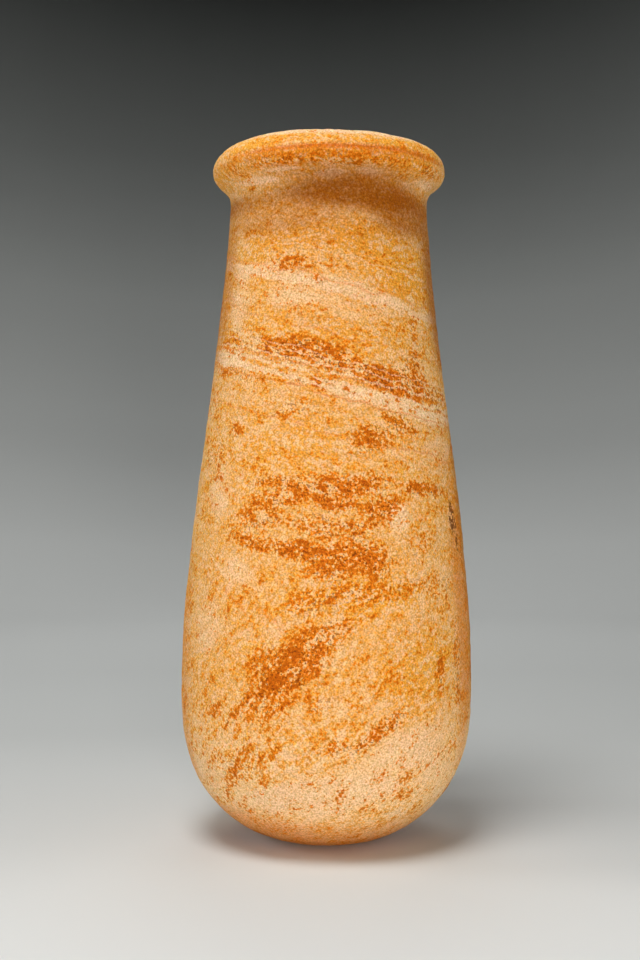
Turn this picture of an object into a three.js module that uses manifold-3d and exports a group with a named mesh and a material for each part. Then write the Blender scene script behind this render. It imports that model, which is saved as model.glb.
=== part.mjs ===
// A tall drop-shaped stone jar, hollowed out of one block of banded calcite (Egyptian alabaster).
// A small flat base carries a full, round bowl. The wall tapers up from it to a short neck, and a thick rolled lip
// goes round the mouth. There is no lid. Millimetres, +Z up, origin at the middle of the flat base.

import * as THREE from "three";
import { mergeVertices } from "three/addons/utils/BufferGeometryUtils.js";
import Module from "manifold-3d";

// Driving dimensions.
const HEIGHT = 300;
const BASE_RADIUS = 25; // the flat that the jar stands on
const BELLY_RADIUS = 63.8; // the widest ring
const BELLY_Z = 61;
const NECK_RADIUS = 43; // the narrowest ring, just under the lip
const NECK_Z = 276;
const LIP_RADIUS = 51.3;
const LIP_Z = 290; // the lip's own widest ring
const MOUTH_RADIUS = 33;

// The bowl under the belly is a superellipse: rounder than a sphere at the side and flatter beneath.
const BOWL_POWER = 2.3;

// The wall between belly and neck: how far each end keeps its own direction, and the lean inwards under the neck.
const WALL_LOWER_REACH = 69;
const WALL_UPPER_REACH = 93;
const NECK_SLOPE = 0.075;

// The lip.
const FLARE_SHARE = 0.6; // of the S-curve under the lip, the part that is the hollow flare
const LIP_FLAT_OUTER = 38.2; // the narrow flat on top, where a lid would rest
const LIP_FLAT_INNER = 36;

// The hollow, which the wall stands around: thin at the neck, thicker at the belly, thickest under the floor.
const BELLY_WALL = 15;
const FLOOR_Z = 22;
const FLOOR_POWER = 2.2;
const BORE_LENGTH = 34; // straight part below the lip

// Hand work: the jar isn't quite upright or quite round.
const LEAN = 1.3; // the lip's centre stands this far along +X from the base's
const OVAL = 0.004; // share of the radius, longest at OVAL_TURN
const OVAL_TURN = 0.7;

// A flake is missing from the edge of the base, on the -X side.
const FLAKE_RADIUS = 13;
const FLAKE_BITE = 2.1;
const FLAKE_AT = new THREE.Vector2(34.8, 4.1); // distance from the axis, and height
const FLAKE_FACING = new THREE.Vector2(0.57, -0.82);

const SEGMENTS = 64; // round the jar
const BOWL_STEPS = 12;
const WALL_STEPS = 14;
const CAVITY_STEPS = 10;
const ARC_STEPS = 5;

const STONE = new THREE.MeshStandardMaterial({ color: 0xdaa062, roughness: 0.62, metalness: 0 });

// Points are (distance from the axis, height).
const at = (radius, z) => new THREE.Vector2(radius, z);

// A quarter of a superellipse, from its widest point down to the radius `innermost`.
function roundedBottom(widest, centreZ, depth, power, innermost, steps) {
  const last = Math.asin((1 - (innermost / widest) ** power) ** 0.5);
  return Array.from({ length: steps + 1 }, (_, i) => {
    const turn = (last * i) / steps;
    const outwards = Math.cos(turn) ** (2 / power);
    const down = Math.sin(turn) ** (2 / power);
    return at(i === steps ? innermost : widest * outwards, centreZ - depth * down);
  });
}

// Part of an ellipse about (radius, z), between two angles from the horizontal.
function arc(radius, z, acrossSize, upSize, from, to, steps) {
  return Array.from({ length: steps + 1 }, (_, i) => {
    const turn = from + ((to - from) * i) / steps;
    return at(radius + acrossSize * Math.cos(turn), z + upSize * Math.sin(turn));
  });
}

function bowl() {
  const depth = BELLY_Z / (1 - (BASE_RADIUS / BELLY_RADIUS) ** BOWL_POWER) ** (1 / BOWL_POWER);
  return roundedBottom(BELLY_RADIUS, BELLY_Z, depth, BOWL_POWER, BASE_RADIUS, BOWL_STEPS).reverse();
}

function outerWall() {
  return new THREE.CubicBezierCurve(
    at(BELLY_RADIUS, BELLY_Z),
    at(BELLY_RADIUS, BELLY_Z + WALL_LOWER_REACH),
    at(NECK_RADIUS + NECK_SLOPE * WALL_UPPER_REACH, NECK_Z - WALL_UPPER_REACH),
    at(NECK_RADIUS, NECK_Z),
  ).getPoints(WALL_STEPS);
}

// The hollow flare and the round underside of the lip are two arcs that meet in an S, both upright at their ends.
function lipUnderside() {
  const out = LIP_RADIUS - NECK_RADIUS;
  const up = LIP_Z - NECK_Z;
  const bothRadii = (out ** 2 + up ** 2) / (2 * out);
  const turn = Math.asin(up / bothRadii);
  const flare = bothRadii * FLARE_SHARE;
  const roll = bothRadii - flare;
  return [
    ...arc(NECK_RADIUS + flare, NECK_Z, flare, flare, Math.PI, Math.PI - turn, ARC_STEPS),
    ...arc(LIP_RADIUS - roll, LIP_Z, roll, roll, -turn, 0, ARC_STEPS),
  ];
}

function lipTop() {
  const rise = HEIGHT - LIP_Z;
  const mouthEdge = LIP_FLAT_INNER - MOUTH_RADIUS;
  return [
    ...arc(LIP_FLAT_OUTER, LIP_Z, LIP_RADIUS - LIP_FLAT_OUTER, rise, 0, Math.PI / 2, ARC_STEPS + 1),
    ...arc(LIP_FLAT_INNER, HEIGHT - mouthEdge, -mouthEdge, mouthEdge, Math.PI / 2, 0, 3),
  ];
}

function cavity() {
  const boreEnd = LIP_Z - BORE_LENGTH;
  const widest = BELLY_RADIUS - BELLY_WALL;
  const reach = (boreEnd - BELLY_Z) / 3;
  const side = new THREE.CubicBezierCurve(
    at(MOUTH_RADIUS, boreEnd),
    at(MOUTH_RADIUS, boreEnd - reach),
    at(widest, BELLY_Z + reach),
    at(widest, BELLY_Z),
  ).getPoints(CAVITY_STEPS);
  const floor = roundedBottom(widest, BELLY_Z, BELLY_Z - FLOOR_Z, FLOOR_POWER, 0, CAVITY_STEPS);
  return [...side, ...floor];
}

// The whole section, from the axis under the base, up the outside and down the inside to the axis again.
function section() {
  const points = [at(0, 0), ...bowl(), ...outerWall(), ...lipUnderside(), ...lipTop(), ...cavity()];
  const closeTogether = 1e-3;
  return points.filter((p, i) => i === 0 || p.distanceTo(points[i - 1]) > closeTogether);
}

// Moves each point as the carver's hand did: a slight lean along +X, and a slightly oval plan.
function workByHand(geometry) {
  const position = geometry.getAttribute("position");
  for (let i = 0; i < position.count; i++) {
    const [x, y, z] = [position.getX(i), position.getY(i), position.getZ(i)];
    const stretch = 1 + OVAL * Math.cos(2 * (Math.atan2(y, x) - OVAL_TURN));
    position.setXYZ(i, x * stretch + (LEAN * z) / HEIGHT, y * stretch, z);
  }
}

function toSolid(wasm, geometry) {
  const bare = new THREE.BufferGeometry();
  bare.setAttribute("position", geometry.getAttribute("position"));
  bare.setIndex(geometry.getIndex());
  const merged = mergeVertices(bare, 1e-3);
  return new wasm.Manifold(
    new wasm.Mesh({
      numProp: 3,
      vertProperties: merged.getAttribute("position").array,
      triVerts: new Uint32Array(merged.getIndex().array),
    }),
  );
}

function toGeometry(solid) {
  const { vertProperties, triVerts } = solid.getMesh();
  const geometry = new THREE.BufferGeometry();
  geometry.setAttribute("position", new THREE.BufferAttribute(vertProperties, 3));
  geometry.setIndex(new THREE.BufferAttribute(triVerts, 1));
  geometry.computeVertexNormals();
  return geometry;
}

function turnedJar() {
  const geometry = new THREE.LatheGeometry(section(), SEGMENTS);
  geometry.rotateX(Math.PI / 2); // the lathe turns about Y
  workByHand(geometry);
  return geometry;
}

// The rounded hollow that the missing flake left.
function flakeScar() {
  const centre = FLAKE_AT.clone().addScaledVector(FLAKE_FACING, FLAKE_RADIUS - FLAKE_BITE);
  return new THREE.SphereGeometry(FLAKE_RADIUS, 24, 16).translate(-centre.x, 0, centre.y);
}

async function jar() {
  const wasm = await Module();
  wasm.setup();
  const stone = toSolid(wasm, turnedJar()).subtract(toSolid(wasm, flakeScar()));
  const mesh = new THREE.Mesh(toGeometry(stone), STONE);
  mesh.name = "jar";
  return mesh;
}

const group = new THREE.Group();
group.add(await jar());

export default group;
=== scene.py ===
"""A tall drop-shaped jar of banded calcite with a rolled lip, standing empty on a pale floor."""

import math
import random

import bpy
import numpy as np
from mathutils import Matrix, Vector, noise


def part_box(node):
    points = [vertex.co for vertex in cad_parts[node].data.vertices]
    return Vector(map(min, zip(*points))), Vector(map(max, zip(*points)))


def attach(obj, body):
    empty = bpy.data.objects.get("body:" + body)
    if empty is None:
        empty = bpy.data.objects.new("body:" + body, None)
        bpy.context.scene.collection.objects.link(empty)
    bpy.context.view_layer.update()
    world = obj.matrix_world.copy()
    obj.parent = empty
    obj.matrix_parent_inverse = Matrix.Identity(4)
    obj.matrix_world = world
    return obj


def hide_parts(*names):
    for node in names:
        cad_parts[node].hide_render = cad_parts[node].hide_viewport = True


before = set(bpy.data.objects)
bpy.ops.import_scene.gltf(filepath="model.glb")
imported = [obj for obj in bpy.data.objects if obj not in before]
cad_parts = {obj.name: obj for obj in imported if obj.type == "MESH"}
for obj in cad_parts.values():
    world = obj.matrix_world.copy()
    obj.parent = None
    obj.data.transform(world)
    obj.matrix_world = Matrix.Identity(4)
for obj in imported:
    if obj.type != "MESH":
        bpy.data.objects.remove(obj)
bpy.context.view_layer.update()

# The jar stands 300 mm tall. Every size below is in millimetres, and MM turns it into metres.
jar_low, jar_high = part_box("jar")
MM = (jar_high.z - jar_low.z) / 300
BELLY_RADIUS = (jar_high.y - jar_low.y) / 2 / MM

# The outside.
BASE_RADIUS = 25
BELLY_Z = 61
NECK_RADIUS = 43
NECK_Z = 276
LIP_RADIUS = 51.3
LIP_Z = 290
TOP_Z = 300
BOWL_POWER = 2.3
WALL_LOWER_REACH = 69
WALL_UPPER_REACH = 93
NECK_SLOPE = 0.075
FLARE_SHARE = 0.6

# The mouth and the hollow.
MOUTH_RADIUS = 33
LIP_FLAT_OUTER = 38.2
LIP_FLAT_INNER = 36
MOUTH_EDGE = LIP_FLAT_INNER - MOUTH_RADIUS
BELLY_WALL = 15
FLOOR_Z = 22
FLOOR_POWER = 2.2
BORE_LENGTH = 34

# Hand work and damage.
LEAN = 1.3
OVAL = 0.004
OVAL_TURN = 0.7
FLAKE_RADIUS = 13
FLAKE_BITE = 2.1
FLAKE_AT = (34.8, 4.1)
FLAKE_FACING = (0.57, -0.82)
CREASE_Z = 290.6  # a worn line along the front of the lip
DRILL_STEP = 14  # one ring of the drill to the next, down the inside

# How finely the rings are set out, before the mesh is smoothed and each face is divided by four each way.
RING_SIDES = 64
SMOOTHINGS = 2
UNDERSIDE_STEP = 7
WALL_STEP = 5.9
LIP_STEP = 2.5
BORE_STEP = 12
CURVE_POINTS = 200
ARC_POINTS = 60


# --------------------------------------------------------------------------------------------------
# The section of the jar: (distance from the axis, height). It runs from under the foot, up the outside
# and down the inside.


def even_steps(outline, step):
    """The same line, set out again with points about `step` apart."""
    line = np.array(outline, float)
    along = np.concatenate([[0], np.cumsum(np.hypot(*np.diff(line, axis=0).T))])
    count = max(2, round(along[-1] / step) + 1)
    places = np.linspace(0, along[-1], count)
    return list(zip(np.interp(places, along, line[:, 0]), np.interp(places, along, line[:, 1])))


def rounded_bottom(widest, centre_z, depth, power, innermost):
    """A quarter of a superellipse, from its widest point down to the radius `innermost`."""
    last = math.asin(math.sqrt(1 - (innermost / widest) ** power))
    square = 2 / power
    return [
        (widest * math.cos(turn) ** square, centre_z - depth * math.sin(turn) ** square)
        for turn in np.linspace(0, last, CURVE_POINTS)
    ]


def arc(radius, z, across, up, start, end):
    """Part of an ellipse about (radius, z), between two angles from the horizontal."""
    turns = np.linspace(start, end, ARC_POINTS)
    return [(radius + across * math.cos(turn), z + up * math.sin(turn)) for turn in turns]


def long_curve(start, start_hold, end_hold, end):
    """A smooth curve that leaves its start towards one hold and reaches its end from the other."""
    a, b, c, d = (np.array(point, float) for point in (start, start_hold, end_hold, end))
    return [
        tuple(a * (1 - t) ** 3 + 3 * b * t * (1 - t) ** 2 + 3 * c * t * t * (1 - t) + d * t**3)
        for t in np.linspace(0, 1, CURVE_POINTS)
    ]


def outer_wall():
    depth = BELLY_Z / (1 - (BASE_RADIUS / BELLY_RADIUS) ** BOWL_POWER) ** (1 / BOWL_POWER)
    bowl = rounded_bottom(BELLY_RADIUS, BELLY_Z, depth, BOWL_POWER, BASE_RADIUS)[::-1]
    wall = long_curve(
        (BELLY_RADIUS, BELLY_Z),
        (BELLY_RADIUS, BELLY_Z + WALL_LOWER_REACH),
        (NECK_RADIUS + NECK_SLOPE * WALL_UPPER_REACH, NECK_Z - WALL_UPPER_REACH),
        (NECK_RADIUS, NECK_Z),
    )
    return bowl + wall[1:]


def rolled_lip():
    """The flare under the lip, the round of the lip, its narrow top and the rounded edge of the mouth."""
    out, up = LIP_RADIUS - NECK_RADIUS, LIP_Z - NECK_Z
    both = (out * out + up * up) / (2 * out)
    turn = math.asin(up / both)
    flare = both * FLARE_SHARE
    roll = both - flare
    return (
        arc(NECK_RADIUS + flare, NECK_Z, flare, flare, math.pi, math.pi - turn)
        + arc(LIP_RADIUS - roll, LIP_Z, roll, roll, -turn, 0)[1:]
        + arc(LIP_FLAT_OUTER, LIP_Z, LIP_RADIUS - LIP_FLAT_OUTER, TOP_Z - LIP_Z, 0, math.pi / 2)[1:]
        + arc(LIP_FLAT_INNER, TOP_Z - MOUTH_EDGE, -MOUTH_EDGE, MOUTH_EDGE, math.pi / 2, 0)
    )


def hollow():
    bore_end = LIP_Z - BORE_LENGTH
    widest = BELLY_RADIUS - BELLY_WALL
    reach = (bore_end - BELLY_Z) / 3
    side = long_curve(
        (MOUTH_RADIUS, bore_end),
        (MOUTH_RADIUS, bore_end - reach),
        (widest, BELLY_Z + reach),
        (widest, BELLY_Z),
    )
    floor = rounded_bottom(widest, BELLY_Z, BELLY_Z - FLOOR_Z, FLOOR_POWER, UNDERSIDE_STEP)
    return [(MOUTH_RADIUS, TOP_Z - MOUTH_EDGE)] + side + floor[1:]


def jar_section():
    underside = even_steps([(UNDERSIDE_STEP, 0), (BASE_RADIUS, 0)], UNDERSIDE_STEP)
    outside = even_steps(outer_wall(), WALL_STEP)
    lip = even_steps(rolled_lip(), LIP_STEP)
    inside = even_steps(hollow(), BORE_STEP)
    return underside + outside[1:] + lip[1:] + inside[1:]


# --------------------------------------------------------------------------------------------------
# The mesh.


def deselect_all():
    if bpy.context.object and bpy.context.object.mode != "OBJECT":
        bpy.ops.object.mode_set(mode="OBJECT")
    bpy.ops.object.select_all(action="DESELECT")


def raise_rings(section):
    """From the open ring that is selected, one new ring for each further point of the section."""
    (radius, z), *rest = section
    for next_radius, next_z in rest:
        bpy.ops.mesh.extrude_region_move(TRANSFORM_OT_translate={"value": (0, 0, (next_z - z) * MM)})
        share = next_radius / radius
        bpy.ops.transform.resize(value=(share, share, 1), center_override=(0, 0, next_z * MM))
        radius, z = next_radius, next_z


def close_ends():
    """A fan of faces over each open ring: under the foot and at the bottom of the hollow."""
    bpy.ops.mesh.select_all(action="SELECT")
    bpy.ops.mesh.fill_holes(sides=0)
    bpy.ops.mesh.select_face_by_sides(number=4, type="GREATER", extend=False)
    bpy.ops.mesh.poke()
    bpy.ops.mesh.select_all(action="SELECT")
    bpy.ops.mesh.normals_make_consistent(inside=False)


def turned_jar():
    section = jar_section()
    deselect_all()
    bpy.ops.mesh.primitive_circle_add(
        vertices=RING_SIDES, radius=section[0][0] * MM, fill_type="NOTHING", location=(0, 0, 0)
    )
    jar = bpy.context.object
    jar.name = jar.data.name = "stone_jar"
    bpy.ops.object.mode_set(mode="EDIT")
    raise_rings(section)
    close_ends()
    bpy.ops.object.mode_set(mode="OBJECT")
    smooth = jar.modifiers.new("smooth", "SUBSURF")
    smooth.levels = smooth.render_levels = SMOOTHINGS
    bpy.ops.object.modifier_apply(modifier=smooth.name)
    bpy.ops.object.shade_smooth()
    return jar


class Surface:
    """The jar's points as arrays in millimetres, with where each one is on the wall."""

    def __init__(self, jar):
        self.mesh = jar.data
        count = len(self.mesh.vertices)
        self.points = np.empty(count * 3)
        self.mesh.vertices.foreach_get("co", self.points)
        self.points = self.points.reshape(-1, 3) / MM
        self.measure()

    def measure(self):
        normals = np.empty(self.points.size)
        self.mesh.vertices.foreach_get("normal", normals)
        self.normals = normals.reshape(-1, 3)
        x, y, self.z = self.points.T
        self.radius = np.hypot(x, y)
        self.turn = np.degrees(np.arctan2(x, -y))  # from the front, positive to the right
        outwards = (self.normals[:, 0] * x + self.normals[:, 1] * y) / np.maximum(self.radius, 1e-6)
        # The wall of the hollow faces the axis, and its floor faces up within the bowl.
        faces_axis = (self.z < TOP_Z - 2) & (outwards < -0.3)
        within_bowl = (self.z > 3) & (self.z < BELLY_Z + 9) & (self.radius < 50)
        self.inside = faces_axis | (within_bowl & (self.normals[:, 2] > 0.1))

    def write(self):
        self.mesh.vertices.foreach_set("co", (self.points * MM).ravel())
        self.mesh.update()
        self.measure()

    def push(self, distance):
        """Moves every point along its normal, by millimetres."""
        self.points += self.normals * distance[:, None]
        self.write()

    def keep(self, name, values):
        made = self.mesh.attributes.new(name, "FLOAT", "POINT")
        made.data.foreach_set("value", np.asarray(values, np.float32))


def rough(points, size, octaves=1, stretch=(1, 1, 1)):
    """Smooth noise about -1 to 1, with lumps of about `size` millimetres and finer ones on them."""
    scaled = points / (np.array(stretch) * size)
    if octaves == 1:
        return np.array([noise.noise(Vector(point)) for point in scaled])
    fading, finer = 0.8, 2.1
    return np.array([noise.fractal(Vector(point), fading, finer, octaves) for point in scaled])


def work_by_hand(surface):
    """The slight lean and the slightly oval plan that carving by hand leaves."""
    x, y, z = surface.points.T
    stretch = 1 + OVAL * np.cos(2 * (np.arctan2(y, x) - OVAL_TURN))
    surface.points = np.column_stack([x * stretch + LEAN * z / TOP_Z, y * stretch, z])
    surface.write()


def strike_flake(surface):
    """Points inside the missing flake are pushed into the stone, as far as the flake's rounded scar."""
    reach = FLAKE_RADIUS - FLAKE_BITE
    centre = np.array([-FLAKE_AT[0] - FLAKE_FACING[0] * reach, 0, FLAKE_AT[1] + FLAKE_FACING[1] * reach])
    away = surface.points - centre
    distance = np.linalg.norm(away, axis=1)
    near = distance < FLAKE_RADIUS
    surface.points[near] = centre + away[near] * (FLAKE_RADIUS / distance[near])[:, None]
    surface.write()


def step_up(low, high, value):
    """Eases from 0 at `low` to 1 at `high`, whichever of them is the greater."""
    share = np.clip((value - low) / (high - low), 0, 1)
    return share * share * (3 - 2 * share)


def weather(surface):
    """Long swells, ripples along the beds, shallow pits, a worn lip and, inside, the rings of the drill."""
    points, z, outside = surface.points, surface.z, ~surface.inside
    beds = points @ np.array([[1, 0, 0.3], [0, 1, 0.12], [0, 0, 1]]).T
    swell = 0.32 * rough(points, 38) + 0.16 * rough(points + 70, 17)
    ripple = 0.19 * rough(beds, 4.6, 3, (2.2, 2.2, 1))
    pits = -0.22 * step_up(0.15, 0.75, rough(points + 31, 4.2, 2))
    worn = step_up(0.3, 0.8, rough(points + 11, 5, 2)) * step_up(284, 289, z)
    lip_wear = -0.5 * worn * outside
    from_crease = abs(z - CREASE_Z - 0.6 * rough(points, 20))
    crease = -0.45 * step_up(1.5, 0, from_crease) * step_up(100, 40, abs(surface.turn - 8)) * outside
    bored = surface.inside & (z > BELLY_Z)
    drill_rings = 0.35 * np.sin(z / DRILL_STEP * 2 * math.pi) * bored

    softness = np.where(surface.inside, 0.45, 1.0)
    # The flat that the jar stands on stays true.
    free = 1 - step_up(BASE_RADIUS + 6, BASE_RADIUS - 2, surface.radius) * (z < 6)
    surface.push((swell + ripple + pits + lip_wear + crease) * softness * free + drill_rings)


# --------------------------------------------------------------------------------------------------
# Where the stone is stained, yellowed, bleached or sooty, and where shade and light are painted into its
# colour:
# under the lip, down the flanks, in the flake's scar, at the foot and along the top of the lip. Each place
# is given
# on the wall: degrees round from the front (right is positive), height, half its length, half its width,
# its tilt (up to the right is positive) and its strength.

RUST = [
    (-18, 209, 16, 5.5, -6, 0.8),
    (-4, 206, 15, 5, -10, 1.0),
    (10, 202, 12, 4.5, -14, 1.0),
    (24, 197, 12, 4, -14, 0.95),
    (38, 195, 17, 7, -8, 1.0),
    (46, 199, 8, 10, 0, 0.7),
    (66, 189, 12, 6, -10, 0.7),
    (48, 211, 2.5, 16, 0, 0.55),
    (-20, 245, 9, 4, -4, 0.75),
    (-2, 243, 6, 2, 0, 0.4),
    (-4, 236, 3, 1.5, 0, 0.7),
    (-50, 214, 13, 5, 0, 0.5),
    (-50, 200, 18, 2.5, -12, 0.7),
    (-6, 195, 12, 1.5, -3, 0.6),
    (-15, 184, 8, 3.5, 15, 0.6),
    (-45, 176, 5, 3, 0, 0.7),
    (20, 172, 11, 6, 10, 0.7),
    (35, 178, 9, 4, -22, 0.85),
    (-60, 164, 11, 8, 0, 0.45),
    (-22, 155, 13, 1.8, 6, 0.7),
    (-15, 150, 17, 5, 16, 0.85),
    (3, 150, 8, 8, 10, 0.8),
    (15, 153, 11, 4.5, 8, 0.9),
    (45, 151, 13, 3, -5, 1.0),
    (6, 146, 7, 3.5, 0, 1.0),
    (23, 143, 9, 5.5, 8, 1.0),
    (-28, 139, 13, 4, 3, 0.7),
    (-4, 137, 10, 4.5, -10, 0.8),
    (12, 136, 8, 3.5, 0, 0.8),
    (-30, 130, 13, 3.5, -10, 0.8),
    (-10, 127, 13, 4.5, -12, 0.85),
    (12, 125, 15, 6, -12, 1.0),
    (19, 120, 5, 4, 0, 0.9),
    (0, 118, 10, 3.5, 0, 0.7),
    (40, 128, 12, 6, 0, 0.4),
    (12, 110, 22, 5, 4, 0.65),
    (-8, 106, 7, 6, 20, 0.55),
    (45, 112, 14, 6, 0, 0.45),
    (-7, 89, 22, 6, 33, 0.85),
    (-13, 79, 21, 6.5, 34, 1.0),
    (-24, 84, 9, 4, 30, 0.6),
    (-32, 63, 15, 3.5, 40, 0.6),
    (-20, 64, 11, 3.5, 35, 0.6),
    (-2, 66, 6, 3, 20, 0.5),
    (20, 55, 16, 3.6, 33, 0.9),
    (3, 49, 6, 3, 12, 0.65),
    (-47, 61, 7, 4, 20, 0.55),
    (-38, 38, 10, 5, 10, 0.35),
    (48, 75, 3, 9, 0, 0.7),
    (60, 78, 4, 20, 0, 0.6),
    (-72, 60, 6, 5, 0, 0.6),
    (26, 30, 24, 7, 14, 0.15),
    (-50, 22, 22, 6, -20, 0.15),
    (34, 20, 14, 5, 10, 0.18),
    (-34, 40, 20, 9, 22, 0.22),
    (74, 118, 4, 30, 0, 0.55),
    (-72, 100, 6, 22, 0, 0.35),
    (0, 286.4, 44, 2.2, 0, 0.45),
    (-24, 285.4, 12, 1.3, 0, 0.6),
    (8, 284.5, 9, 0.9, 0, 0.6),
    (62, 286, 10, 2, 0, 0.6),
]
SEAMS_AND_EDGE_GLOW = [
    (8, 290.4, 36, 0.9, 0, 1.0),
    (-4, 289, 46, 2.6, 0, 0.5),
    # Painted glow: orange down both flanks, for light showing through the stone at the edges.
    (70, 100, 11, 62, 0, 0.7),
    (-76, 60, 10, 60, 0, 0.4),
    (-60, 12, 40, 8, 0, 0.5),
    (-30, 289.8, 16, 0.6, 0, 0.7),
    (46, 290.8, 20, 1.2, -2, 0.8),
    (-20, 284.6, 14, 0.5, 0, 0.6),
    (-55, 116, 9, 0.5, -37, 0.6),
    (-38, 107, 10, 0.6, -34, 0.7),
    (-22, 101, 8, 0.5, -30, 0.6),
    (46, 152, 12, 0.7, -5, 0.7),
]
OCHRE_AND_EDGE_SHADE = [
    (-6, 287.4, 44, 2.4, 0, 1.0),
    (44, 286.5, 22, 2.6, -2, 0.8),
    (-78, 285, 12, 4, 0, 0.9),
    (34, 294, 30, 2, 0, 0.6),
    (-40, 294, 20, 2.6, 0, 0.7),
    (0, 295, 30, 1.6, 0, 0.4),
    (32, 252, 24, 8, -14, 0.8),
    (44, 238, 18, 8, -14, 0.9),
    (0, 256, 20, 5, 0, 0.5),
    (-34, 250, 14, 8, 0, 0.5),
    (-62, 214, 12, 8, 0, 0.7),
    (4, 214, 44, 8, -8, 0.45),
    (66, 186, 10, 8, 0, 0.9),
    (-14, 170, 28, 12, 0, 0.4),
    (72, 148, 12, 16, 0, 0.6),
    # Partly painted shade: honey-brown down the right flank, over a real stain there.
    (86, 112, 16, 56, 0, 0.9),
    (12, 108, 30, 9, 4, 0.7),
    (40, 78, 24, 14, 20, 0.6),
    (-14, 46, 30, 10, 20, 0.4),
    (-84, 60, 10, 40, 0, 0.5),
    (30, 18, 26, 6, 8, 0.6),
]
BLEACHED_AND_LIT = [
    # Painted highlight: pale along the top of the lip, where the light falls on it.
    (8, 298, 50, 1.6, 0, 0.8),
    (-42, 280.2, 13, 1.6, -3, 1.0),
    (-24, 283, 10, 0.8, 0, 0.8),
    (2, 281, 7, 1.5, 4, 1.0),
    (22, 282, 6, 1.5, -4, 0.9),
    (68, 281.5, 10, 1.8, 0, 0.8),
    (2, 225, 34, 7, -8, 0.35),
    (-10, 262, 40, 5, 0, 0.3),
    (-52, 228, 9, 13, 0, 0.55),
    (-15, 239, 30, 3, -9, 0.6),
    (20, 232, 24, 3, -12, 0.6),
    (-40, 243, 18, 4, 3, 0.6),
    (-58, 207, 16, 5, -8, 0.8),
    (24, 188, 26, 4, -12, 0.8),
    (58, 182, 20, 5, -8, 0.8),
    (-52, 150, 10, 14, 10, 0.55),
    (-47, 119, 16, 0.7, -36, 0.8),
    (30, 140, 7, 7, 0, 0.8),
    (-52, 96, 14, 14, 0, 0.55),
    (32, 47, 22, 9, 18, 0.7),
    # Painted light: pale places low on the front, for light thrown up from the floor.
    (-12, 26, 30, 8, 0, 0.7),
    (8, 32, 24, 7, 0, 0.6),
    (50, 36, 16, 10, 0, 0.5),
    (-56, 34, 16, 10, 0, 0.4),
    (4, 30, 26, 6, 6, 0.7),
    (-18, 232, 16, 5, -8, 0.5),
    (-36, 118, 12, 6, -30, 0.6),
    (60, 168, 14, 8, 0, 0.5),
]
# Brown painted shade: under the lip (partly real patina in the recess), down the flanks, in the flake's
# scar and along the foot.
SHADE_AND_PATINA = [
    # Painted shade under the overhang of the lip, with some brown patina in the recess.
    (18, 274, 34, 7.5, 0, 0.72),
    (50, 266, 20, 9, 0, 0.55),
    (-62, 272, 24, 4, 0, 0.35),
    (-34, 264, 30, 7, 0, 0.3),
    (14, 282.4, 36, 3.2, 0, 0.3),
    (8, 258, 50, 7, 0, 0.12),
    # Painted shade down the left flank.
    (-74, 236, 12, 36, 0, 0.4),
    # The same painted shade and patina under the lip, round the back.
    (120, 272, 50, 5, 0, 0.45),
    (-130, 272, 50, 4, 0, 0.45),
    (180, 272, 50, 5, 0, 0.4),
    # Painted shade down both flanks; on the right it is partly a real brown stain too.
    (78, 238, 13, 36, 0, 0.62),
    (84, 140, 11, 44, 0, 0.45),
    (86, 80, 10, 26, 0, 0.4),
    (-92, 235, 12, 40, 0, 0.5),
    # Painted shadow in the scar of the flake.
    (-74, 6, 9, 3, 0, 0.8),
    # Painted shade along the foot, where it meets the floor.
    (-46, 3.5, 16, 2, 0, 0.5),
    (30, 3, 40, 1.6, 0, 0.4),
]
SOOTY = [
    (64, 139, 2.6, 8, 0, 0.6),
    (68, 132, 2.4, 13, 0, 0.42),
    (88, 140, 3, 20, 0, 0.3),
]

# Thin beds that run right round, above the middle: (level at the axis, half its width, strength).
PALE_VEINS = [
    (196, 1.5, 0.7),
    (199.2, 1.0, 0.7),
    (237, 2.2, 0.65),
    (203, 0.6, 0.6),
    (206, 0.5, 0.5),
    (208.6, 0.5, 0.4),
    (251, 0.5, 0.4),
]
RUSTY_VEINS = [
    (193.2, 0.5, 0.45),
    (201.6, 0.5, 0.4),
    (240.6, 0.5, 0.35),
    (219, 0.5, 0.3),
    (178, 0.5, 0.4),
]


def scattered_stains(count, first_turn, last_turn, seed):
    """More stains of the same kinds for the sides and back of the jar."""
    chance = random.Random(seed)
    for _ in range(count):
        height = chance.uniform(18, 262)
        lean = -14 if height > 120 else 30
        length = chance.uniform(7, 22)
        yield (
            chance.uniform(first_turn, last_turn),
            height,
            length,
            length * chance.uniform(0.2, 0.4),
            chance.gauss(lean, 8),
            chance.uniform(0.45, 1.0),
        )


def daubed(surface, places):
    """How strongly each point is inside any of the places: 1 in the middle, easing to 0 outside."""
    left = np.ones(len(surface.z))
    for turn, height, half_length, half_width, tilt, strength in places:
        away = (surface.turn - turn + 180) % 360 - 180
        across = np.radians(away) * surface.radius
        up = surface.z - height
        lean = math.radians(tilt)
        along = across * math.cos(lean) + up * math.sin(lean)
        aside = up * math.cos(lean) - across * math.sin(lean)
        distance = np.hypot(along / half_length, aside / half_width)
        left *= 1 - strength * step_up(1.45, 0.45, distance)
    return (1 - left) * ~surface.inside


PATCHES = {
    "rust": RUST + list(scattered_stains(60, first_turn=84, last_turn=276, seed=5)),
    "seam": SEAMS_AND_EDGE_GLOW,
    "ochre": OCHRE_AND_EDGE_SHADE + list(scattered_stains(26, first_turn=90, last_turn=270, seed=3)),
    "bleached": BLEACHED_AND_LIT + list(scattered_stains(22, first_turn=84, last_turn=276, seed=8)),
    "earthy": SHADE_AND_PATINA,
    "sooty": SOOTY,
}


# --------------------------------------------------------------------------------------------------
# Materials.


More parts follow.
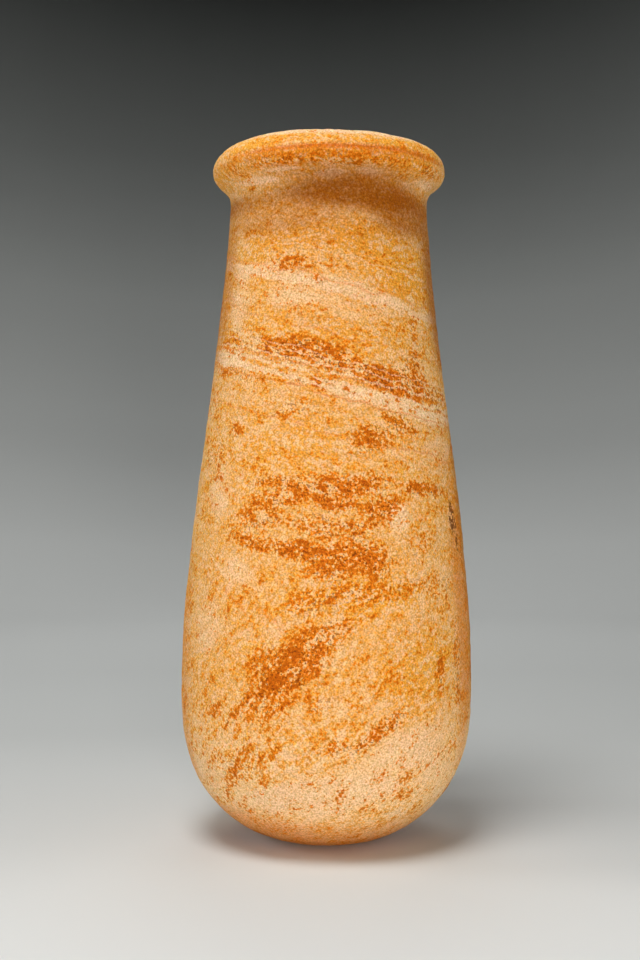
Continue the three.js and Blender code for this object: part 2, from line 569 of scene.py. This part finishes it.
class Link:
    """What flows out of a node. Arithmetic on it adds Math nodes."""

    def __init__(self, finish, socket):
        self.finish, self.socket = finish, socket

    def worked(self, operation, first, second):
        return self.finish.node("Math", {"operation": operation}, {0: first, 1: second})

    def __add__(self, other):
        return self.worked("ADD", self, other)

    def __sub__(self, other):
        return self.worked("SUBTRACT", self, other)

    def __rsub__(self, other):
        return self.worked("SUBTRACT", other, self)

    def __mul__(self, other):
        return self.worked("MULTIPLY", self, other)

    def __abs__(self):
        return self.worked("ABSOLUTE", self, 0)

    __radd__ = __add__
    __rmul__ = __mul__


class Finish:
    """A material and its nodes."""

    def __init__(self, name):
        self.material = bpy.data.materials.new(name)
        self.material.use_nodes = True
        self.tree = self.material.node_tree
        self.tree.nodes.clear()

    def node(self, kind, settings=None, sockets=None, out=0):
        """Adds a node of this kind, with its settings first and then its sockets' values or links."""
        made = self.tree.nodes.new("ShaderNode" + kind)
        for name, value in (settings or {}).items():
            if name == "stops":
                self.set_stops(made.color_ramp, value)
            else:
                setattr(made, name, value)
        for name, value in (sockets or {}).items():
            if isinstance(value, Link):
                self.tree.links.new(value.socket, made.inputs[name])
            else:
                made.inputs[name].default_value = value
        return Link(self, made.outputs[out])

    def set_stops(self, ramp, stops):
        while len(ramp.elements) < len(stops):
            ramp.elements.new(0.5)
        for element, (place, colour) in zip(ramp.elements, stops):
            element.position, element.color = place, colour

    def place(self):
        """Where the point is on the object, in millimetres."""
        spot = self.node("TexCoord", out="Object")
        return self.node("VectorMath", {"operation": "SCALE"}, {0: spot, "Scale": 1 / MM})

    def kept(self, name):
        return self.node("Attribute", {"attribute_name": name}, out="Fac")

    def parts(self, vector):
        return [self.node("SeparateXYZ", None, {0: vector}, out=axis) for axis in "XYZ"]

    def along(self, vector, direction):
        return self.node("VectorMath", {"operation": "DOT_PRODUCT"}, {0: vector, 1: direction}, out="Value")

    def grain(self, spot, size, detail, roughness=0.5):
        """Noise from 0 to 1 with lumps of about this size in millimetres."""
        sockets = {"Vector": spot, "Scale": 1 / size, "Detail": detail, "Roughness": roughness}
        return self.node("TexNoise", None, sockets, out="Fac")

    def step(self, low, high, value):
        """Eases from 0 to 1 as the value goes from `low` to `high`."""
        sockets = {"Value": value, "From Min": low, "From Max": high}
        return self.node("MapRange", {"interpolation_type": "SMOOTHSTEP"}, sockets)

    def blend(self, share, first, second, how="MIX"):
        settings = {"data_type": "RGBA", "blend_type": how, "clamp_factor": True}
        return self.node("Mix", settings, {0: share, 6: first, 7: second}, out=2)

    def pick(self, share, first, second):
        """Between two numbers."""
        settings = {"data_type": "FLOAT", "clamp_factor": True}
        return self.node("Mix", settings, {0: share, 2: first, 3: second})

    def shade(self, sockets):
        output = self.tree.nodes.new("ShaderNodeOutputMaterial")
        shader = self.node("BsdfPrincipled", None, sockets)
        self.tree.links.new(shader.socket, output.inputs["Surface"])
        return self.material


def screen(red, green, blue):
    """A colour given as it looks on a screen, 0 to 255, made linear."""
    shares = [c / 255 for c in (red, green, blue)]
    return tuple(c / 12.92 if c <= 0.04045 else ((c + 0.055) / 1.055) ** 2.4 for c in shares) + (1.0,)


# The stone's colours, from the palest to the sooty mark.
CHALK = screen(250, 206, 158)
CREAM = screen(254, 204, 144)
PEACH = screen(240, 177, 102)
HONEY = screen(240, 162, 42)
RUST_ORANGE = screen(226, 122, 8)
RUST_BROWN = screen(192, 90, 3)
# The brown of painted shade, with some patina under the lip.
SHADE_AND_PATINA_BROWN = screen(172, 94, 10)
UMBER = screen(124, 56, 4)
SOOT = screen(104, 48, 2)

# The beds dip to the right above the middle and to the left below it. These point square across them.
ACROSS_UPPER_BEDS = (0.26, -0.06, 1)
ACROSS_LOWER_BEDS = (-0.62, 0.1, 1)
BEDS_TURN = (98, 152)  # one dip gives way to the other between these heights

# The sizes of the stone's grain, in millimetres.
ISLANDS = 11
FLECKS = 3.8
STIPPLE = 1.3
SPECKS = 0.9
FINE_GRAIN = 0.7

# Rust shows where the grain is above a need, and a stain at full strength lowers the need by RUST_DRAW.
RUST_NEED = 0.655
RUST_DRAW = 0.235
OCHRE_DRAW = 0.09  # the same for honey colour in an ochre place

# What the finest grain does to the colour, from its dark grains to its pale ones.
FINE_SHADES = [(0.22, (0.70, 0.64, 0.46, 1)), (0.78, (1.14, 1.19, 1.38, 1))]
GRAIN_DEPTH = 0.0007  # metres


class Stone:
    """The grain and the stains of the jar's stone, the shade and light painted onto it, and the colours
    that they make.
    """

    def __init__(self, f):
        self.f = f
        self.spot = f.place()
        self.x, self.y, self.z = f.parts(self.spot)
        self.rust, self.seam, self.ochre, self.bleached, self.earthy, self.sooty = (
            f.kept(name) for name in PATCHES
        )
        self.inside = f.kept("inside")
        self.lay_grain()
        self.find_rust()

    def lay_grain(self):
        """Four sizes of grain. The two larger ones are drawn out along the beds."""
        f = self.f
        wander = f.grain(self.spot, 34, 2) * 14
        self.upper_bed = f.along(self.spot, ACROSS_UPPER_BEDS) + wander
        self.lower_bed = f.along(self.spot, ACROSS_LOWER_BEDS) + wander
        self.above = f.step(*BEDS_TURN, self.z)
        self.islands = self.in_beds(ISLANDS, 4, 0.62, 2.0)
        self.flecks = self.in_beds(FLECKS, 2, 0.6, 1.7)
        self.stipple = f.grain(self.spot, STIPPLE, 1)
        self.fine = f.grain(self.spot, FINE_GRAIN, 0)
        # The same, from -0.5 to 0.5, for making an edge ragged.
        self.fleck_wear = self.flecks - 0.5
        self.stipple_wear = self.stipple - 0.5

    def in_beds(self, size, detail, roughness, thinness):
        upper, lower = (
            self.f.node("CombineXYZ", None, {0: self.x, 1: self.y, 2: bed * thin})
            for bed, thin in ((self.upper_bed, thinness), (self.lower_bed, thinness * 0.7))
        )
        return self.f.pick(
            self.above,
            self.f.grain(lower, size, detail, roughness),
            self.f.grain(upper, size, detail, roughness),
        )

    def find_rust(self):
        """Where the rust is, its brown core, and the honey-coloured halo round it."""
        f = self.f
        lie = self.islands * 0.85 + 0.075 + self.fleck_wear * 0.6 + self.stipple_wear * 0.8
        need = RUST_NEED + f.step(205, 255, self.z) * 0.02 - self.rust * RUST_DRAW
        self.is_rust = f.step(need - 0.01, need + 0.025, lie)
        self.is_core = f.step(need + 0.10, need + 0.16, lie)
        self.halo = f.step(need - 0.12, need + 0.02, lie)

    def mottled(self):
        """Cream and honey in small islands, with painted light from the floor making the foot paler, and
        pale patches, some of them bleaching and some painted light.
        """
        f = self.f
        mottle = self.flecks * 0.55 + self.islands * 0.45 + self.stipple_wear * 0.45
        is_cream = f.step(0.48, 0.41, mottle)
        is_honey = f.step(0.495 - self.ochre * OCHRE_DRAW, 0.58 - self.ochre * OCHRE_DRAW, mottle)
        # Painted light: less honey near the foot, for light thrown up from the floor.
        honey_share = 0.66 - f.step(60, 20, self.z) * 0.2 + self.ochre * 0.25
        # The pale patches include a painted highlight on the lip's top and painted light low on the front.
        is_chalk = f.step(0.40, 0.62, self.bleached + self.fleck_wear * 1.3 + self.stipple_wear * 0.7)
        # Painted light: the ground turns from peach to cream towards the foot, for light from the floor.
        colour = f.blend(f.step(75, 25, self.z), PEACH, CREAM)
        colour = f.blend(is_cream * 0.48, colour, CHALK)
        colour = f.blend(is_honey * honey_share, colour, HONEY)
        return f.blend(is_chalk * 0.75, colour, CHALK)

    def rusted(self, colour):
        colour = self.f.blend(self.halo * 0.55, colour, HONEY)
        colour = self.f.blend(self.is_rust * 0.9, colour, RUST_ORANGE)
        colour = self.f.blend(self.is_core * 0.8, colour, RUST_BROWN)
        # Seams in rust orange, with the painted glow down the flanks.
        return self.f.blend(self.seam * (0.55 + self.stipple * 0.6), colour, RUST_ORANGE)

    def veined(self, colour):
        """Thin ragged veins that lie in the upper beds."""
        f = self.f
        level_here = f.along(self.spot, ACROSS_UPPER_BEDS) + f.grain(self.spot, 15, 3) * 9 - 4.5
        for veins, vein_colour in ((PALE_VEINS, CHALK), (RUSTY_VEINS, RUST_ORANGE)):
            for level, half_width, strength in veins:
                ragged = abs(level_here - level)
                ragged = ragged + self.stipple_wear * half_width * 2 + self.fleck_wear * half_width * 1.6
                in_vein = f.step(half_width, half_width * 0.5, ragged)
                colour = f.blend(in_vein * strength, colour, vein_colour)
        return colour

    def soiled(self, colour):
        """Brown specks, brown painted shade under the lip (partly patina), down the flanks, in the flake's
        scar and along the foot, orange painted shade and glow at the foot, and the sooty mark.
        """
        f = self.f
        is_speck = f.step(0.62, 0.68, f.grain(self.spot, SPECKS, 0))
        smears = self.sooty * (1 + self.fleck_wear * 3 + self.stipple_wear * 2.4)
        colour = f.blend(is_speck * (0.14 + self.rust * 0.6), colour, UMBER)
        # Painted shade in brown, partly patina under the lip.
        colour = f.blend(self.earthy * (0.8 + self.stipple), colour, SHADE_AND_PATINA_BROWN)
        # Painted shade and glow: orange towards the foot, where the stone meets the floor.
        colour = f.blend(f.step(20, 4, self.z) * 0.55, colour, RUST_ORANGE)
        return f.blend(f.step(0.3, 0.6, smears) * 0.85, colour, SOOT)


def banded_calcite():
    """Cream and honey stone in thin beds, mottled all over, with ragged rust stains and brown specks, and
    painted shade and light.
    """
    f = Finish("banded_calcite")
    stone = Stone(f)
    colour = stone.soiled(stone.veined(stone.rusted(stone.mottled())))
    colour = f.blend(stone.inside * 0.5, colour, CHALK)
    shades = f.node("ValToRGB", {"stops": FINE_SHADES}, {0: stone.fine})
    height = stone.flecks * 0.9 + stone.stipple * 0.6 + stone.fine * 0.5 - stone.is_core * 0.1
    grain_relief = {"Strength": 0.75, "Distance": GRAIN_DEPTH, "Height": height}
    return f.shade({
        "Base Color": f.blend(1.0, colour, shades, how="MULTIPLY"),
        "Roughness": 0.6 + stone.stipple_wear * 0.2 + stone.is_rust * 0.1,
        "Normal": f.node("Bump", None, grain_relief, out="Normal"),
        "Subsurface Weight": 0.6,
        "Subsurface Radius": (1.0, 0.42, 0.14),
        "Subsurface Scale": 0.014,
        "Specular IOR Level": 0.08,
    })


# --------------------------------------------------------------------------------------------------
# The floor, the light and the camera.

FLOOR_RADIUS = 0.95
WALL_RADIUS = 1.75
WALL_HEIGHT = 1.9
PAPER_SIDES = 96
SWEEP_STEPS = 16
LAMP_DISTANCE = 1.15
ROOM_LIGHT = 0.03

# The camera looks level along +Y.
CAMERA_AT = (-2.63, -589.8, 155.2)
LENS = 50

# The paper's tones, by metres from a point on the floor well in front of the jar. They paint the fall of
# the
# light onto the paper: pale on the floor, darker up the wall to near black at its top.
TONES_FROM = (0, -1.1, 0)
PAPER_REACH = 3.6
PAPER_TONES = [
    (0.5, 190),
    (0.84, 250),
    (0.93, 228),
    (1.1, 208),
    (1.33, 193),
    (1.6, 198),
    (2.1, 223),
    (2.35, 226),
    (2.5, 218),
    (2.64, 206),
    (2.8, 178),
    (2.93, 119),
    (3.05, 1),
]


def paper_sweep():
    """A round of plain paper: flat under the jar, curving up all round into a wall."""
    deselect_all()
    bpy.ops.mesh.primitive_circle_add(
        vertices=PAPER_SIDES, radius=FLOOR_RADIUS, fill_type="NGON", location=(0, 0, 0)
    )
    sweep = bpy.context.object
    sweep.name = "paper_sweep"
    bpy.ops.object.mode_set(mode="EDIT")
    bpy.ops.mesh.region_to_loop()
    rise = WALL_RADIUS - FLOOR_RADIUS
    radius, z = FLOOR_RADIUS, 0
    for i in range(SWEEP_STEPS):
        turn = math.pi / 2 * (i + 1) / SWEEP_STEPS
        next_radius, next_z = FLOOR_RADIUS + rise * math.sin(turn), rise * (1 - math.cos(turn))
        share = next_radius / radius
        bpy.ops.mesh.extrude_region_move(TRANSFORM_OT_translate={"value": (0, 0, next_z - z)})
        bpy.ops.transform.resize(value=(share, share, 1), center_override=(0, 0, 0))
        radius, z = next_radius, next_z
    bpy.ops.mesh.extrude_region_move(TRANSFORM_OT_translate={"value": (0, 0, WALL_HEIGHT - z)})
    bpy.ops.object.mode_set(mode="OBJECT")
    bpy.ops.object.shade_smooth()
    return sweep


def grey(level):
    """A near-neutral grey, a touch towards green."""
    return screen(level - 1, level + 1, level - 1)


def paper_with_painted_shade():
    """Paper with painted shade: pale on the floor, and darker up the wall."""
    f = Finish("paper_with_painted_shade")
    spot = f.node("TexCoord", out="Object")
    away = f.node("VectorMath", {"operation": "DISTANCE"}, {0: spot, 1: TONES_FROM}, out="Value")
    tones = [(place / PAPER_REACH, grey(level)) for place, level in PAPER_TONES]
    return f.shade({
        "Base Color": f.node("ValToRGB", {"stops": tones}, {0: away * (1 / PAPER_REACH)}),
        "Roughness": 0.9,
        "Specular IOR Level": 0.1,
    })


def lamp(name, azimuth, elevation, size, watts, spread=180, height=150):
    """A round soft lamp: degrees round from the front, degrees up, metres across, and its aim's height."""
    target = Vector((0, 0, height * MM))
    round_to, up = math.radians(azimuth), math.radians(elevation)
    level = math.cos(up)
    back = Vector((math.sin(round_to) * level, -math.cos(round_to) * level, math.sin(up)))
    deselect_all()
    bpy.ops.object.light_add(type="AREA", location=target + back * LAMP_DISTANCE)
    made = bpy.context.object
    made.name = name
    made.data.shape = "DISK"
    made.data.size = size
    made.data.energy = watts
    made.data.spread = math.radians(spread)
    made.rotation_mode = "QUATERNION"
    made.rotation_quaternion = back.to_track_quat("Z", "Y")
    made.visible_camera = False


def light_the_room():
    lamp("overhead", azimuth=-30, elevation=70, size=0.5, watts=9.5)
    lamp("low_front", azimuth=8, elevation=5, size=0.24, watts=1.0, spread=70, height=50)
    lamp("left", azimuth=-92, elevation=20, size=0.42, watts=3.0)
    lamp("right", azimuth=84, elevation=22, size=0.6, watts=1.2)
    lamp("behind", azimuth=180, elevation=40, size=0.7, watts=2.6)
    world = bpy.data.worlds.new("soft_room")
    world.use_nodes = True
    background = world.node_tree.nodes["Background"]
    background.inputs["Color"].default_value = (1, 1, 1, 1)
    background.inputs["Strength"].default_value = ROOM_LIGHT
    bpy.context.scene.world = world


def stand_camera():
    deselect_all()
    place = [distance * MM for distance in CAMERA_AT]
    bpy.ops.object.camera_add(location=place, rotation=(math.pi / 2, 0, 0))
    camera = bpy.context.object
    camera.data.lens = LENS
    bpy.context.scene.camera = camera
    bpy.context.scene.view_settings.view_transform = "Standard"


# --------------------------------------------------------------------------------------------------
# The jar, and then the room round it.

jar = turned_jar()
surface = Surface(jar)
work_by_hand(surface)
strike_flake(surface)
weather(surface)
for name, places in PATCHES.items():
    surface.keep(name, daubed(surface, places))
surface.keep("inside", surface.inside)
jar.data.materials.clear()
jar.data.materials.append(banded_calcite())

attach(jar, "root")
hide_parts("jar")

sweep = paper_sweep()
sweep.data.materials.append(paper_with_painted_shade())
light_the_room()
stand_camera()
